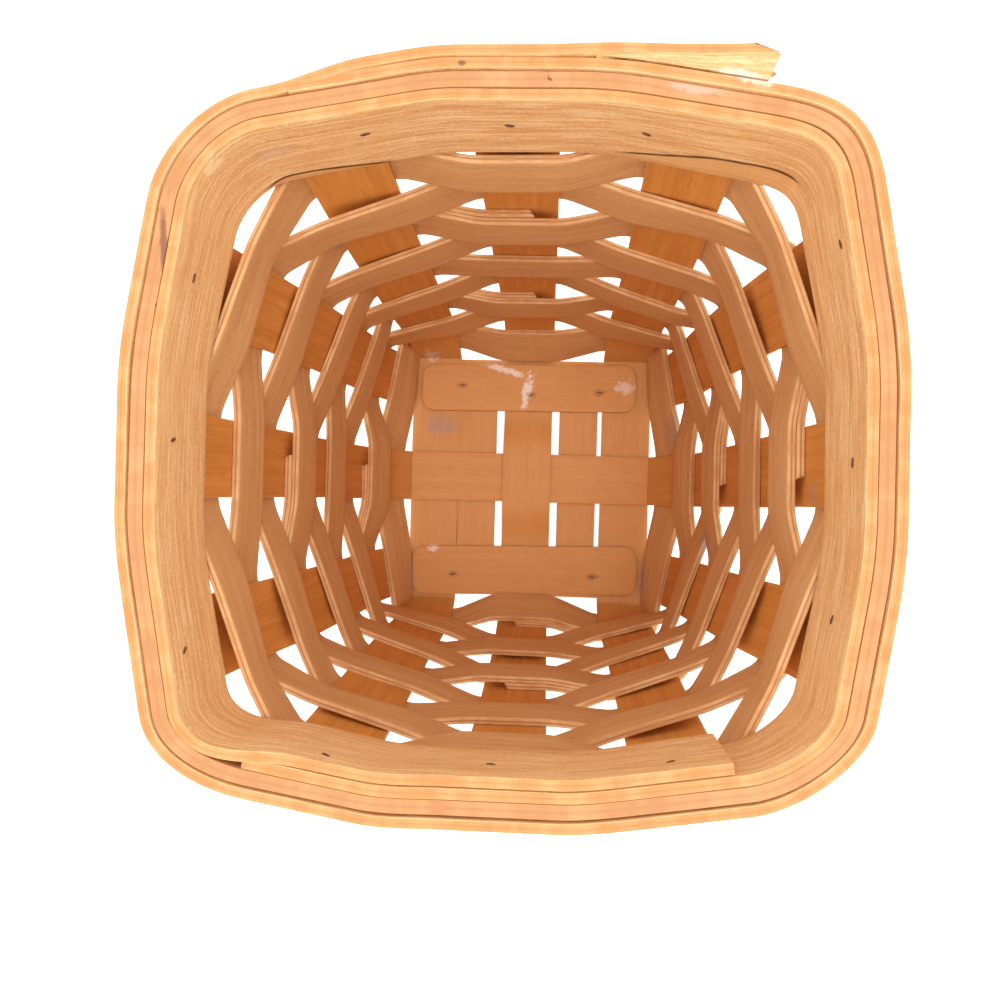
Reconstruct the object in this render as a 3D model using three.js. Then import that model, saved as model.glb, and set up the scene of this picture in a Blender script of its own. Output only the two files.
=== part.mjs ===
import * as THREE from 'three';

// Splint basket: six long stakes cross in the base and turn up as twelve uprights,
// nine separate weavers go round them, and a rim of two lapped bands with a filler
// strip between them closes the top. Millimetres, +Z up, standing on its base.

// Strips
const stakeWidth = 19.2;
const stakeThickness = 2;
const weaverWidth = 16;
const weaverThickness = 2;
const bandHeight = 22;
const bandThickness = 2.3;
const rimFillerWidth = 2.7;
const rimFillerHeight = 4;

// Clearances
const restGap = 0.3;
const weaveGap = 0.5;
const bandGap = 0.5;
const rowToBandGap = 0.8;

// Base
const baseReach = 47.8;
const baseFillerWidth = 15.2;
const leftSlot = 2.8;
const rightInnerSlot = 3;
const rightOuterSlot = 1.9;
const crossSpacing = 38.3;
const backCoverWidth = 18.6;
const backCoverMargin = 2.15;
const backCoverLength = 86;
const backCoverTurnShare = 0.01;
const frontCoverWidth = 19.5;
const frontCoverMargin = 0.9;
const frontCoverLength = 90.6;
const frontCoverTurnShare = 0.026;
const coverSetBack = 1.2;
const coverCornerRadius = 5;
const fillerTail = 2;
const fillerTuck = 0.4;
const humpRun = 15;

// Walls: how far each one turns out above the base, how much more it flares at the rim,
// and how far each of its uprights leans along it, in anticlockwise order
const turnOut = { right: 24, back: 23.5, left: 23.6, front: 23.3 };
const rimFlare = { right: 1.8, back: 3.7, left: 2.1, front: -3.6 };
const leans = {
  right: [3.7, 3.2, 4.2],
  back: [1, -1, -0.1],
  left: [-0.2, -0.9, 1.4],
  front: [1.2, 1.9, -0.6],
};
const turnPowerShare = 0.274;
const flarePowerShare = 4.3;
const lowBow = 5.1;
const highBow = 0.8;
const rimBow = 3.1;
const outerSplay = 1;

// Rows of weaving
const rowCount = 9;
const firstRowHeight = 15;
const rowPitch = 18.32;
const startLead = 3;
const finishLead = 7;
const topRowSlack = 2;
const lowRowSlack = 0.35;

// Rim laps, measured past the middle of the stakes where they end
const bandStartLead = 10;
const bandFinishLead = 9;
const outerTornLead = 9.5;
const outerTuckedLead = 5;
const scarfPlace = 8;
const scarfRun = 3;

// Bends between stakes
const straightOverrun = 1;
const weaverBendRadius = 3;
const bandBendShare = 1.2;

// Steps of the lines and solids
const tautTries = 24;
const weaverBendSteps = 2;
const runSteps = 3;
const bandSideSteps = 2;
const bandCornerSteps = 7;
const uprightSteps = 18;
const uprightStepPower = 2.2;
const humpSteps = 5;
const coverCornerSteps = 4;

const stakeColour = 0xc4762f;
const weaverColour = 0xcb8c50;
const bandColour = 0xd99a5b;
const fillerColour = 0xc98a5c;
const woodRoughness = 0.62;

// Heights that follow from the sizes above
const layer = stakeThickness + restGap;
const lowLevel = stakeThickness / 2;
const middleLevel = lowLevel + layer;
const highLevel = middleLevel + layer;
const topRowHeight = firstRowHeight + (rowCount - 1) * rowPitch;
const bandBottom = topRowHeight + weaverWidth / 2 + rowToBandGap;
const rimTop = bandBottom + bandHeight;
const stakeTop = rimTop - rimFillerHeight - restGap;

// Distances from the middle of a stake to the middle of what passes it
const weaverOffset = stakeThickness / 2 + weaveGap + weaverThickness / 2;
const weaverLap = weaverThickness + weaveGap;
const bandLap = bandThickness + restGap;
const innerBandOffset = -(stakeThickness / 2 + bandGap + bandThickness / 2);
const rimFillerInside = -stakeThickness / 2;
const rimFillerOutside = rimFillerInside + rimFillerWidth;
const outerBandLowOffset = stakeThickness / 2 + bandGap + bandThickness / 2;
const outerBandTopOffset = rimFillerOutside + bandGap + bandThickness / 2;

// Lengthwise strips from left to right, set so that the outer edges are level with each other
const leftSpacing = stakeWidth + leftSlot + baseFillerWidth + restGap;
const rightSpacing = stakeWidth + rightInnerSlot + baseFillerWidth + rightOuterSlot;
const centrePlace = (leftSpacing - rightSpacing) / 2;
const leftPlace = centrePlace - leftSpacing;
const rightPlace = centrePlace + rightSpacing;
const leftFillerPlace = leftPlace + stakeWidth / 2 + restGap + baseFillerWidth / 2;
const rightFillerPlace = centrePlace + stakeWidth / 2 + rightInnerSlot + baseFillerWidth / 2;
const outerSpacing = (leftSpacing + rightSpacing) / 2;

// Covers and fillers from front to back
const backCoverPlace = baseReach - backCoverMargin - backCoverWidth / 2;
const frontCoverPlace = -(baseReach - frontCoverMargin - frontCoverWidth / 2);
const fillerBackEnd = backCoverPlace + backCoverWidth / 2 + fillerTail;
const fillerFrontEnd = frontCoverPlace - frontCoverWidth / 2 + fillerTuck;
const baseFillerLength = fillerBackEnd - fillerFrontEnd;
const baseFillerPlace = (fillerBackEnd + fillerFrontEnd) / 2;

// Each wall has an outward direction and a direction along it, anticlockwise seen from above
const wallFrames = {
  right: { out: [1, 0], along: [0, 1] },
  back: { out: [0, 1], along: [-1, 0] },
  left: { out: [-1, 0], along: [0, -1] },
  front: { out: [0, -1], along: [1, 0] },
};

// The twelve uprights in anticlockwise order, starting at the front end of the right wall.
// The corner sign tells which side of an upright its wall's corner is on.
const spots = { first: -1, middle: 0, last: 1 };
const upright = (wall, spot, place, level) => {
  const corner = spots[spot];
  return { wall, spot, corner, place, level, lean: leans[wall][corner + 1] };
};
const uprights = [
  upright('right', 'first', -crossSpacing, lowLevel),
  upright('right', 'middle', 0, highLevel),
  upright('right', 'last', crossSpacing, lowLevel),
  upright('back', 'first', -rightPlace, middleLevel),
  upright('back', 'middle', -centrePlace, middleLevel),
  upright('back', 'last', -leftPlace, middleLevel),
  upright('left', 'first', -crossSpacing, lowLevel),
  upright('left', 'middle', 0, highLevel),
  upright('left', 'last', crossSpacing, lowLevel),
  upright('front', 'first', leftPlace, middleLevel),
  upright('front', 'middle', centrePlace, middleLevel),
  upright('front', 'last', rightPlace, middleLevel),
];
const find = (wall, spot) => uprights.findIndex((entry) => entry.wall === wall && entry.spot === spot);
const perWall = Object.keys(spots).length;

// Bow of a wall at its outer stakes: one belly low down, one high up, and the rim's own curve.
// A belly s (1 - s)^2 is highest, at 4/27, a third of the way, so its share is scaled by that.
const bellyPeakShare = 4 / 27;
function bowAt(rise) {
  const fall = 1 - rise;
  const bellies = (lowBow * rise * fall * fall + highBow * rise * rise * fall) / bellyPeakShare;
  return bellies + rimBow * rise;
}

// Centre, direction along the wall and outward direction of an upright at one height
function uprightAt(index, height) {
  const { wall, place, level, lean } = uprights[index];
  const frame = wallFrames[wall];
  const rise = Math.max(0, (height - level) / (rimTop - level));
  const along = place * (1 + (outerSplay / outerSpacing) * rise) + lean * rise;
  const bow = bowAt(rise) / (outerSpacing * outerSpacing);
  const turn = turnOut[wall] * Math.pow(rise, turnPowerShare);
  const flare = rimFlare[wall] * Math.pow(rise, flarePowerShare);
  const reach = baseReach + turn + flare - bow * along * along;
  const slope = -2 * bow * along;
  const out = new THREE.Vector2(...frame.out);
  const side = new THREE.Vector2(...frame.along);
  const centre = out.clone().multiplyScalar(reach).addScaledVector(side, along);
  const tangent = side.clone().addScaledVector(out, slope).normalize();
  const normal = out.clone().addScaledVector(side, -slope).normalize();
  return { centre, tangent, normal, rise };
}

// How far an upright bellies out between two heights, past the straight line that joins them
function belly(index, low, high) {
  const ends = uprightAt(index, low).centre.clone();
  ends.add(uprightAt(index, high).centre).divideScalar(2);
  const middle = uprightAt(index, (low + high) / 2);
  return Math.max(0, middle.centre.clone().sub(ends).dot(middle.normal));
}

function hermite(start, startPull, end, endPull, share) {
  const square = share * share;
  const cube = square * share;
  return new THREE.Vector2()
    .addScaledVector(start, 2 * cube - 3 * square + 1)
    .addScaledVector(startPull, cube - 2 * square + share)
    .addScaledVector(end, 3 * square - 2 * cube)
    .addScaledVector(endPull, cube - square);
}

// Points from start to end, both included. The walls twist a little from low to high, so a
// run past a corner stake is split to keep its faces near the true surface.
function straightRun(start, end, steps) {
  return Array.from({ length: steps + 1 }, (unused, step) => start.clone().lerp(end, step / steps));
}

// A line round the basket at one height. It runs straight past each upright that it visits,
// at that visit's distance from the middle of the stake, and bends between the uprights.
function lineRound(height, visits, steps) {
  const reach = stakeWidth / 2 + straightOverrun;
  const points = [];
  let previous = null;
  for (const visit of visits) {
    const { centre, tangent, normal } = uprightAt(visit.index, height);
    const { wall, corner } = uprights[visit.index];
    const middle = centre.clone().addScaledVector(normal, visit.offset);
    const start = middle.clone().addScaledVector(tangent, visit.from ?? -reach);
    const end = middle.clone().addScaledVector(tangent, visit.to ?? reach);
    if (previous) {
      const count = wall === previous.wall ? steps.side : steps.corner;
      const share = wall === previous.wall ? 1 : steps.bendShare;
      const pull = previous.end.distanceTo(start) * share;
      const leaving = previous.tangent.clone().multiplyScalar(pull);
      const arriving = tangent.clone().multiplyScalar(pull);
      for (let step = 1; step < count; step += 1) {
        points.push(hermite(previous.end, leaving, start, arriving, step / count));
      }
    }
    points.push(...straightRun(start, end, corner === 0 ? 1 : runSteps));
    previous = { end, tangent, wall };
  }
  return points.map((point) => new THREE.Vector3(point.x, point.y, height));
}

// Where a weaver turns at one height: at both edges of each upright that it passes. Outside an
// upright it lies on the stake. Inside one it runs as straight as that stake allows, because it
// is pulled taut between the two that it passes outside.
function tautKnots(height, visits) {
  const reach = stakeWidth / 2 + straightOverrun;
  const knots = visits.flatMap((visit) => {
    const { centre, tangent, normal } = uprightAt(visit.index, height);
    return [visit.from ?? -reach, visit.to ?? reach].map((ahead) => {
      const foot = centre.clone().addScaledVector(tangent, ahead);
      return { foot, normal, point: foot.clone().addScaledVector(normal, visit.offset), visit };
    });
  });
  const free = knots.slice(1, -1).filter(({ visit }) => visit.inside);
  for (let tries = 0; tries < tautTries; tries += 1) {
    for (const knot of free) {
      const at = knots.indexOf(knot);
      const before = knots[at - 1].point;
      const run = knots[at + 1].point.clone().sub(before);
      const across = new THREE.Vector2(run.y, -run.x);
      const straight = before.clone().sub(knot.foot).dot(across) / knot.normal.dot(across);
      const offset = Math.min(knot.visit.offset, straight);
      knot.point = knot.foot.clone().addScaledVector(knot.normal, offset);
    }
  }
  return knots.map(({ point, visit }) => ({ point, corner: uprights[visit.index].corner }));
}

// The two faces of a weaver at one height, with a round bend at each knot
function weaverFaces(height, visits, thickness) {
  const knots = tautKnots(height, visits);
  const outward = (run) => new THREE.Vector2(run.y, -run.x);
  const runs = knots.slice(1).map(({ point }, index) => point.clone().sub(knots[index].point));
  const lengths = runs.map((run) => run.length());
  runs.forEach((run) => run.normalize());
  const last = knots.length - 1;
  const stations = [{ point: knots[0].point, normal: outward(runs[0]) }];
  for (let index = 1; index < last; index += 1) {
    const arriving = runs[index - 1];
    const turn = Math.asin(arriving.cross(runs[index]));
    const room = Math.min(lengths[index - 1], lengths[index]) / 2;
    const tangentShare = Math.tan(Math.abs(turn) / 2);
    const radius = Math.min(weaverBendRadius, room / Math.max(tangentShare, Number.EPSILON));
    const start = knots[index].point.clone().addScaledVector(arriving, -radius * tangentShare);
    const inward = outward(arriving).multiplyScalar(-Math.sign(turn));
    const bend = [];
    for (let step = 0; step <= weaverBendSteps; step += 1) {
      const angle = (turn * step) / weaverBendSteps;
      const point = start.clone().addScaledVector(arriving, radius * Math.sin(Math.abs(angle)));
      point.addScaledVector(inward, radius * (1 - Math.cos(angle)));
      const normal = outward(arriving).rotateAround(new THREE.Vector2(), angle);
      bend.push({ point, normal });
    }
    const { corner } = knots[index];
    if (corner !== 0 && index % 2 === 1) {
      const from = stations[stations.length - 1];
      const passed = straightRun(from.point, bend[0].point, runSteps).slice(1, -1);
      passed.forEach((point) => stations.push({ point, normal: outward(arriving) }));
    }
    stations.push(...bend);
  }
  stations.push({ point: knots[last].point, normal: outward(runs[last - 1]) });
  return [-thickness / 2, thickness / 2].map((shift) => stations.map(({ point, normal }) => {
    const { x, y } = point.clone().addScaledVector(normal, shift);
    return new THREE.Vector3(x, y, height);
  }));
}

const bandSteps = { side: bandSideSteps, corner: bandCornerSteps, bendShare: bandBendShare };

// A closed solid through sections of paired corners, with both ends capped
function strip(sections) {
  const positions = [];
  const push = (...points) => points.forEach((point) => positions.push(point.x, point.y, point.z));
  for (let index = 0; index + 1 < sections.length; index += 1) {
    const here = sections[index];
    const next = sections[index + 1];
    for (let corner = 0; corner < here.length; corner += 1) {
      const other = (corner + 1) % here.length;
      push(here[corner], here[other], next[other]);
      push(here[corner], next[other], next[corner]);
    }
  }
  const last = sections[sections.length - 1];
  const pairs = last.length / 2;
  for (let pair = 0; pair + 1 < pairs; pair += 1) {
    const corners = [pair, pair + 1, last.length - pair - 2, last.length - pair - 1];
    const [a, b, c, d] = corners.map((corner) => sections[0][corner]);
    push(c, b, a);
    push(d, c, a);
    const [e, f, g, h] = corners.map((corner) => last[corner]);
    push(e, f, g);
    push(e, g, h);
  }
  const geometry = new THREE.BufferGeometry();
  geometry.setAttribute('position', new THREE.Float32BufferAttribute(positions, 3));
  geometry.computeVertexNormals();
  return geometry;
}

// A strip on edge round the basket, from its inner and outer faces at its lower and upper edges
function edgeStrip([innerLow, outerLow], [innerHigh, outerHigh]) {
  return strip(innerLow.map((point, index) => [innerHigh[index], outerHigh[index], outerLow[index], point]));
}

function band(visits, topShift) {
  const faces = (height, shift) => [-bandThickness / 2, bandThickness / 2].map((face) => {
    const moved = visits.map((visit) => ({ ...visit, offset: visit.offset + shift + face }));
    return lineRound(height, moved, bandSteps);
  });
  return edgeStrip(faces(bandBottom, 0), faces(rimTop, topShift));
}

// A long stake: down one wall, across the base and up the wall opposite
function stake(firstUpright, lastUpright, hump) {
  const upward = (index) => {
    const { level } = uprights[index];
    const stations = [];
    for (let step = 0; step <= uprightSteps; step += 1) {
      const share = Math.pow(step / uprightSteps, uprightStepPower);
      const height = level + (stakeTop - level) * share;
      const { centre, tangent } = uprightAt(index, height);
      stations.push({ centre: new THREE.Vector3(centre.x, centre.y, height), side: tangent });
    }
    return stations;
  };
  const flip = ({ centre, side }) => ({ centre, side: side.clone().negate() });
  const down = upward(firstUpright).reverse();
  const up = upward(lastUpright).map(flip);
  const base = [];
  if (hump) {
    const { centre: foot, side } = down[down.length - 1];
    const direction = up[0].centre.clone().sub(foot).normalize();
    const middle = up[0].centre.clone().add(foot).divideScalar(2);
    const flat = stakeWidth / 2 + straightOverrun;
    for (let step = -humpSteps; step <= humpSteps; step += 1) {
      const share = Math.abs(step) / humpSteps;
      const fall = share * share * (3 - 2 * share);
      for (const way of step === 0 ? [-1, 1] : [Math.sign(step)]) {
        const centre = middle.clone().addScaledVector(direction, way * (flat + humpRun * share));
        centre.z = foot.z + hump * (1 - fall);
        base.push({ centre, side });
      }
    }
  }
  const stations = [...down, ...base, ...up];
  const sections = stations.map(({ centre, side }, index) => {
    const before = stations[Math.max(0, index - 1)].centre;
    const after = stations[Math.min(stations.length - 1, index + 1)].centre;
    const run = after.clone().sub(before).normalize();
    const across = new THREE.Vector3(side.x, side.y, 0);
    const normal = run.clone().cross(across).normalize().multiplyScalar(stakeThickness / 2);
    across.multiplyScalar(stakeWidth / 2);
    return [
      centre.clone().sub(across).sub(normal),
      centre.clone().sub(normal),
      centre.clone().add(across).sub(normal),
      centre.clone().add(across).add(normal),
      centre.clone().add(normal),
      centre.clone().sub(across).add(normal),
    ];
  });
  return strip(sections);
}

// A flat base strip with its corners rounded, lying along X
function flatStrip(length, width, radius) {
  const x = length / 2;
  const y = width / 2;
  const shape = new THREE.Shape();
  shape.moveTo(-x + radius, -y);
  shape.lineTo(x - radius, -y);
  shape.absarc(x - radius, -y + radius, radius, -Math.PI / 2, 0);
  shape.lineTo(x, y - radius);
  shape.absarc(x - radius, y - radius, radius, 0, Math.PI / 2);
  shape.lineTo(-x + radius, y);
  shape.absarc(-x + radius, y - radius, radius, Math.PI / 2, Math.PI);
  shape.lineTo(-x, -y + radius);
  shape.absarc(-x + radius, -y + radius, radius, Math.PI, Math.PI * 1.5);
  return new THREE.ExtrudeGeometry(shape, {
    depth: stakeThickness, bevelEnabled: false, curveSegments: coverCornerSteps,
  });
}

const basket = new THREE.Group();

function addPiece(name, geometry, colour) {
  const material = new THREE.MeshStandardMaterial({ color: colour, roughness: woodRoughness, metalness: 0 });
  const mesh = new THREE.Mesh(geometry, material);
  mesh.name = name;
  basket.add(mesh);
  return mesh;
}

// A stake up a spot of one wall and up a spot of the wall opposite
function addStake(name, fromWall, fromSpot, toWall, toSpot, hump) {
  addPiece(name, stake(find(fromWall, fromSpot), find(toWall, toSpot), hump), stakeColour);
}

// Stakes: the lengthwise ones run front to back, the cross ones left to right
addStake('stake_lengthwise_left', 'front', 'first', 'back', 'last', 0);
addStake('stake_lengthwise_middle', 'front', 'middle', 'back', 'middle', layer + layer);
addStake('stake_lengthwise_right', 'front', 'last', 'back', 'first', 0);
addStake('stake_cross_front', 'left', 'last', 'right', 'first', 0);
addStake('stake_cross_middle', 'left', 'middle', 'right', 'middle', 0);
addStake('stake_cross_back', 'left', 'first', 'right', 'last', 0);

// Base fillers lie between the lengthwise stakes, and two covers hide their ends
const baseFillers = { base_filler_left: leftFillerPlace, base_filler_right: rightFillerPlace };
for (const [name, place] of Object.entries(baseFillers)) {
  const mesh = addPiece(name, flatStrip(baseFillerLength, baseFillerWidth, stakeThickness / 2), stakeColour);
  mesh.rotation.z = Math.PI / 2;
  mesh.position.set(place, baseFillerPlace, middleLevel - stakeThickness / 2);
}
function addCover(name, length, width, place, turn) {
  const cover = addPiece(name, flatStrip(length, width, coverCornerRadius), stakeColour);
  cover.rotation.z = turn;
  cover.position.set(-coverSetBack, place, highLevel - stakeThickness / 2);
}
addCover('base_cover_back', backCoverLength, backCoverWidth, backCoverPlace, backCoverTurnShare);
addCover('base_cover_front', frontCoverLength, frontCoverWidth, frontCoverPlace, frontCoverTurnShare);

// Weavers, numbered from the top. Odd rows pass inside the even uprights, and each starts
// inside the middle upright of one wall, one wall further round than the row above.
const startWalls = ['front', 'right', 'back', 'left'];
for (let row = 1; row <= rowCount; row += 1) {
  const low = firstRowHeight + (rowCount - row) * rowPitch - weaverWidth / 2;
  const high = low + weaverWidth;
  const first = find(startWalls[(row - 1) % startWalls.length], 'middle');
  const visits = [];
  for (let count = 0; count <= uprights.length + 1; count += 1) {
    const index = (first + count) % uprights.length;
    const inside = count % 2 === 0;
    const slack = row === 1 && index === find('back', 'middle') ? topRowSlack : 0;
    const outward = weaverOffset + belly(index, low, high) + (row === rowCount ? lowRowSlack : 0);
    visits.push({ index, inside, offset: inside ? -weaverOffset - slack : outward });
  }
  visits[0].from = -startLead;
  visits[1].offset += weaverLap;
  visits[uprights.length].offset -= weaverLap;
  visits[uprights.length + 1].to = finishLead;
  const lowFaces = weaverFaces(low, visits, weaverThickness);
  const highFaces = weaverFaces(high, visits, weaverThickness);
  addPiece(`weaver_row_${row}`, edgeStrip(lowFaces, highFaces), weaverColour);
}

// Visits in anticlockwise order from one upright to another, the long way round and past the start
function visitsRound(first, total, offset) {
  return Array.from({ length: total }, (unused, count) => {
    const index = (first + count) % uprights.length;
    return { index, offset };
  });
}

// The inner band laps inside its own start, right across the front wall
const lappedCount = uprights.length + perWall;
const innerVisits = visitsRound(find('front', 'first'), lappedCount, innerBandOffset);
innerVisits[0].from = -bandStartLead;
innerVisits.slice(uprights.length).forEach((visit) => {
  visit.offset -= bandLap;
});
innerVisits[lappedCount - 1].to = bandFinishLead;
addPiece('rim_band_inner', band(innerVisits, 0), bandColour);

// The outer band laps outside its own end, right across the back wall
const outerVisits = visitsRound(find('back', 'first'), lappedCount, outerBandLowOffset);
outerVisits[0].from = -outerTornLead;
outerVisits.slice(0, perWall).forEach((visit) => {
  visit.offset += bandLap;
});
outerVisits[lappedCount - 1].to = outerTuckedLead;
addPiece('rim_band_outer', band(outerVisits, outerBandTopOffset - outerBandLowOffset), bandColour);

// The filler strip lies on the stake ends between the bands, its ends cut as a scarf
function fillerLine(height, offset, start) {
  const visits = visitsRound(find('back', 'middle'), uprights.length + 1, offset);
  visits[0].from = start;
  visits[uprights.length].to = start - restGap;
  return lineRound(height, visits, bandSteps);
}
const fillerLow = rimTop - rimFillerHeight;
const fillerInnerStart = -scarfPlace + scarfRun;
const fillerSections = fillerLine(fillerLow, rimFillerInside, fillerInnerStart);
const fillerOuterLow = fillerLine(fillerLow, rimFillerOutside, -scarfPlace);
const fillerOuterHigh = fillerLine(rimTop, rimFillerOutside, -scarfPlace);
const fillerInnerHigh = fillerLine(rimTop, rimFillerInside, fillerInnerStart);
addPiece('rim_filler', strip(fillerSections.map((point, index) => [
  fillerInnerHigh[index], fillerOuterHigh[index], fillerOuterLow[index], point,
])), fillerColour);

// The origin is under the middle of the whole basket, on the surface that it stands on
const bounds = new THREE.Box3().setFromObject(basket);
basket.position.set(-(bounds.min.x + bounds.max.x) / 2, -(bounds.min.y + bounds.max.y) / 2, -bounds.min.z);

export default basket;
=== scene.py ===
import math
import bpy
from mathutils import Matrix, Vector, noise


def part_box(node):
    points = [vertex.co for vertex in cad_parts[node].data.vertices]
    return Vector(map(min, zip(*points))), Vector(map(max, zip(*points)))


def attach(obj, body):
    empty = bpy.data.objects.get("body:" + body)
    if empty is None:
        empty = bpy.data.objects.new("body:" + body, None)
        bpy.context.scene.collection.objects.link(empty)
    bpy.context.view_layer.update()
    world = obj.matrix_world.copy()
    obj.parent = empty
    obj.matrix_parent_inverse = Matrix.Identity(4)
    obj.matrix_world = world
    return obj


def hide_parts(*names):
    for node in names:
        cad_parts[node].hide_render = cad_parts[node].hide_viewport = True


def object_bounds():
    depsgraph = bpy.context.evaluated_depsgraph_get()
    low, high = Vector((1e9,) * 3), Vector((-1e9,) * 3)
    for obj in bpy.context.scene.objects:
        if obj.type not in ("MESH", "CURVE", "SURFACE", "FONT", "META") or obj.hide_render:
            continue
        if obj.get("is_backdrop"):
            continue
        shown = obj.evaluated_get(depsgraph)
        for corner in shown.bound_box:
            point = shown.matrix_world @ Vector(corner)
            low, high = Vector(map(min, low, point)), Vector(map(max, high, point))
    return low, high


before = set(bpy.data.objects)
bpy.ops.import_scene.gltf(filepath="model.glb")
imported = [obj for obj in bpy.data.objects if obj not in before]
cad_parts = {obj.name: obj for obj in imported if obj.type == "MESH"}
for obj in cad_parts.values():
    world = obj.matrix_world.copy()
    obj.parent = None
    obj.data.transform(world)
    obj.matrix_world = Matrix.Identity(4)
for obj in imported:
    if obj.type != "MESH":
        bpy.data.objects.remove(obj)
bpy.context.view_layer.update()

bpy.ops.object.select_all(action='DESELECT')
scene = bpy.context.scene
scene.view_settings.view_transform = 'Standard'

# the basket's own sizes, in metres; the row of uprights runs anticlockwise from the right wall's front one
basket = {
    # splints, and the clearances between them
    'stakeWidth': 0.0192, 'stakeThickness': 0.0016, 'layer': 0.0023,
    'weaverWidth': 0.016, 'weaverThickness': 0.002,
    'bandHeight': 0.022, 'bandThickness': 0.0023,
    'fillerWidth': 0.0031, 'fillerHeight': 0.004,
    'restGap': 0.0003, 'weaveGap': 0.0001, 'bandGap': 0.0001, 'outerGap': 0.0006, 'rowToBandGap': 0.0008,
    # base
    'baseReach': 0.0478, 'crossSpacing': 0.0383, 'coverSetBack': 0.0012, 'fillerTail': 0.002, 'fillerTuck': 0.0004,
    'baseFillerWidth': 0.0152, 'leftSlot': 0.0028, 'rightInnerSlot': 0.0030, 'rightOuterSlot': 0.0019,
    'backCover': {'width': 0.0186, 'margin': 0.00215, 'length': 0.086, 'turn': 0.01, 'seed': 51.0},
    'frontCover': {'width': 0.0195, 'margin': 0.0009, 'length': 0.0906, 'turn': 0.026, 'seed': 53.0},
    # walls: how far they lean out, how steeply they start, their bow and the lean of each upright to its side
    'turnOut': {'right': 0.0236, 'back': 0.0231, 'left': 0.0232, 'front': 0.0229},
    'rimFlare': {'right': 0.0018, 'back': 0.0037, 'left': 0.0021, 'front': -0.0036},
    'turnPower': 0.274, 'flarePower': 4.3, 'steepHeight': 0.014,
    'steepShare': {'right': 0.95, 'back': 0.85, 'left': 0.95, 'front': 0.55},
    'rimPush': {5: -0.0008, 8: -0.0006, 9: 0.0014, 10: 0.0004},
    'lowBow': 0.0051, 'highBow': 0.0008, 'rimBow': 0.0031, 'outerSplay': 0.001,
    'leans': (0.0037, 0.0032, 0.0042, 0.0010, -0.0010, -0.0001, -0.0002, -0.0009, 0.0014, 0.0012, 0.0019, -0.0006),
    # weave: slack is by row and upright, the other ones by row or upright
    'rowCount': 9, 'firstRowHeight': 0.015, 'rowPitch': 0.01832, 'slack': {(1, 4): 0.002, (7, 10): 0.0012},
    'lowTuck': {9: 0.001}, 'startLead': 0.003, 'finishLead': 0.007, 'tautTries': 24,
    'overrun': 0.0015, 'softBend': 0.0028, 'bendLimit': 2.2, 'cornerEase': {'low': 0.0048, 'high': 0.0016},
    # rim
    'rimCornerBend': 1.2, 'cornerShare': {0: 0.74, 3: 1.2, 6: 0.86, 9: 0.87},
}
b = basket
mm = 0.001
layer = b['layer']
lowLevel = b['stakeThickness'] / 2
middleLevel = lowLevel + layer
highLevel = middleLevel + layer
topRow = b['firstRowHeight'] + (b['rowCount'] - 1) * b['rowPitch']
bandBottom = topRow + b['weaverWidth'] / 2 + b['rowToBandGap']
rimTop = bandBottom + b['bandHeight']
stakeTop = rimTop - b['fillerHeight'] - b['restGap']
weaverOffset = b['stakeThickness'] / 2 + b['weaveGap'] + b['weaverThickness'] / 2
weaverLap = b['weaverThickness'] + b['weaveGap']
bandLap = b['bandThickness'] + b['restGap']
innerBand = -(b['stakeThickness'] / 2 + b['bandGap'] + b['bandThickness'] / 2)
fillerInside = -b['stakeThickness'] / 2
fillerOutside = fillerInside + b['fillerWidth']
outerLow = b['stakeThickness'] / 2 + b['outerGap'] + b['bandThickness'] / 2
outerTop = fillerOutside + b['outerGap'] + b['bandThickness'] / 2
leftSpacing = b['stakeWidth'] + b['leftSlot'] + b['baseFillerWidth'] + b['restGap']
rightSpacing = b['stakeWidth'] + b['rightInnerSlot'] + b['baseFillerWidth'] + b['rightOuterSlot']
centrePlace = (leftSpacing - rightSpacing) / 2
leftPlace = centrePlace - leftSpacing
rightPlace = centrePlace + rightSpacing
outerSpacing = (leftSpacing + rightSpacing) / 2
backCoverPlace = b['baseReach'] - b['backCover']['margin'] - b['backCover']['width'] / 2
frontCoverPlace = -(b['baseReach'] - b['frontCover']['margin'] - b['frontCover']['width'] / 2)
fillerBackEnd = backCoverPlace + b['backCover']['width'] / 2 + b['fillerTail']
fillerFrontEnd = frontCoverPlace - b['frontCover']['width'] / 2 + b['fillerTuck']

# the basket stands in the frame where its solids do: the base filler shows how far they were moved
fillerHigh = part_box('base_filler_left')[1]
fillerEdge = centrePlace - b['stakeWidth'] / 2 - b['leftSlot']
shift = Vector((fillerHigh.x - fillerEdge, fillerHigh.y - fillerBackEnd, 0))
print('shift', shift)

walls = {
    'right': (Vector((1, 0)), Vector((0, 1))), 'back': (Vector((0, 1)), Vector((-1, 0))),
    'left': (Vector((-1, 0)), Vector((0, -1))), 'front': (Vector((0, -1)), Vector((1, 0))),
}
cross = b['crossSpacing']
uprights = [
    ('right', -cross, lowLevel), ('right', 0, highLevel), ('right', cross, lowLevel),
    ('back', -rightPlace, middleLevel), ('back', -centrePlace, middleLevel), ('back', -leftPlace, middleLevel),
    ('left', -cross, lowLevel), ('left', 0, highLevel), ('left', cross, lowLevel),
    ('front', leftPlace, middleLevel), ('front', centrePlace, middleLevel), ('front', rightPlace, middleLevel),
]
bowPeak = 27 / 4  # brings the highest point of x(1 - x)^2 to 1


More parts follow.
